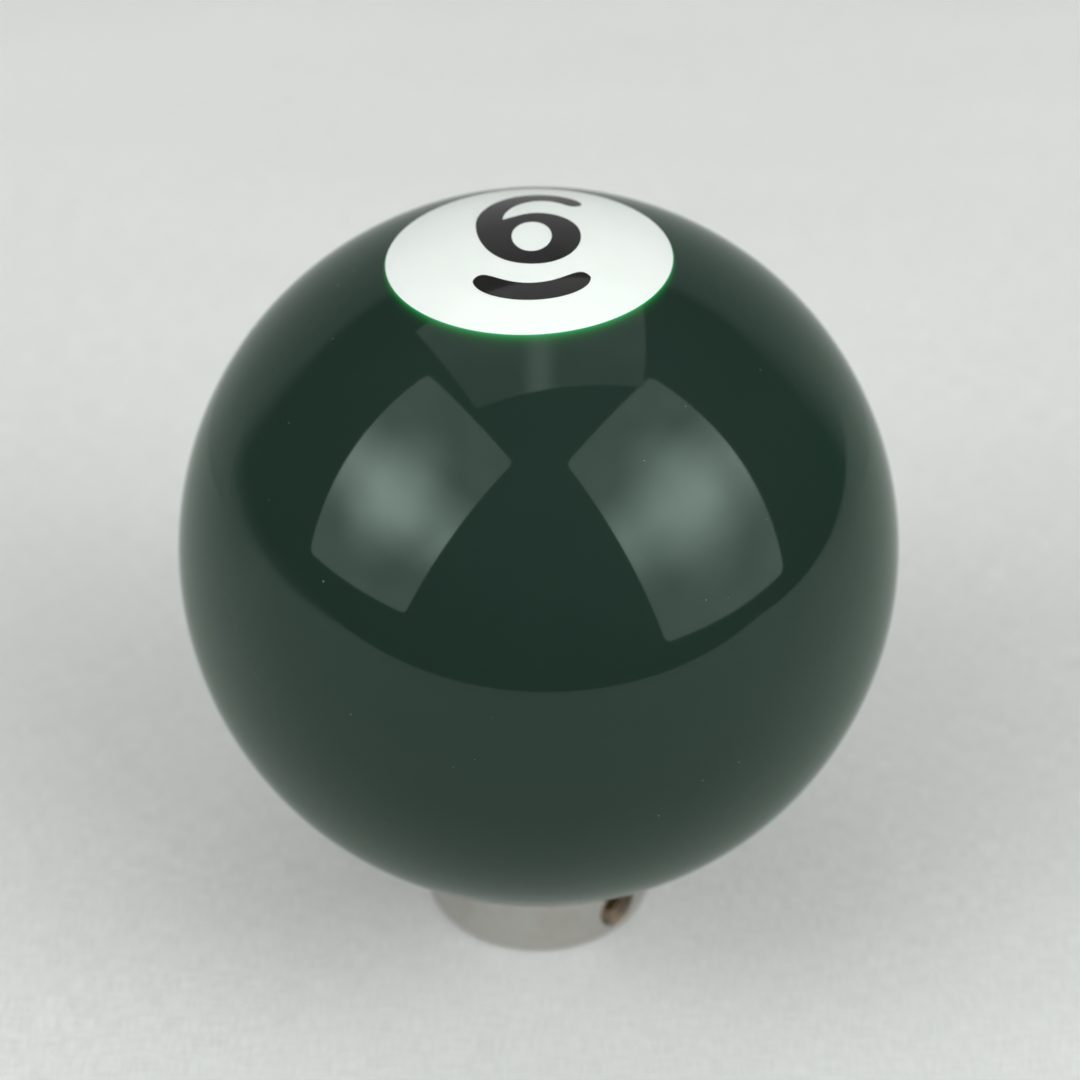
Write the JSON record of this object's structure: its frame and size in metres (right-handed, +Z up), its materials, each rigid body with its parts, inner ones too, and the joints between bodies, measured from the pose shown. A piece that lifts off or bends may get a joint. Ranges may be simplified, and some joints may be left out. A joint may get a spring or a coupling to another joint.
{
  "type": "pool ball lever knob",
  "caption": "Round green pool ball with inlaid number spot, made into a lever knob on a short metal collar with set screws.",
  "frame": {"origin": "centre of the collar's flat foot, on the bore axis", "axes": "+Z up the bore axis towards the number spot; the numeral reads upright from -Y; +X to the reader's right"},
  "size_m": [0.0572, 0.0572, 0.0641],
  "materials": {
    "green_resin": "polished phenolic resin, dark bottle green",
    "white_resin": "polished phenolic resin, off-white",
    "black_resin": "polished phenolic resin, black",
    "insert_brass": "machined and knurled",
    "collar_metal": "fine turned, nickel plated",
    "screw_brass": "machined, lightly tarnished"
  },
  "bodies": {
    "knob": {"ball_body": "green_resin", "number_disc": "white_resin", "numeral_six": "black_resin", "underline_bar": "black_resin", "lower_number_disc": "white_resin", "threaded_insert": "insert_brass", "collar": "collar_metal"},
    "screw_front": {"set_screw_front": "screw_brass"},
    "screw_rear": {"set_screw_rear": "screw_brass"}
  },
  "joints": [
    {"name": "set_screw_front_travel", "type": "slide", "parent": "knob", "child": "screw_front", "axis": [-0.7193, 0.6947, 0], "range_m": [-0.0008, 0.00165]},
    {"name": "set_screw_rear_travel", "type": "slide", "parent": "knob", "child": "screw_rear", "axis": [-0.6947, -0.7193, 0], "range_m": [-0.0008, 0.00165]}
  ]
}
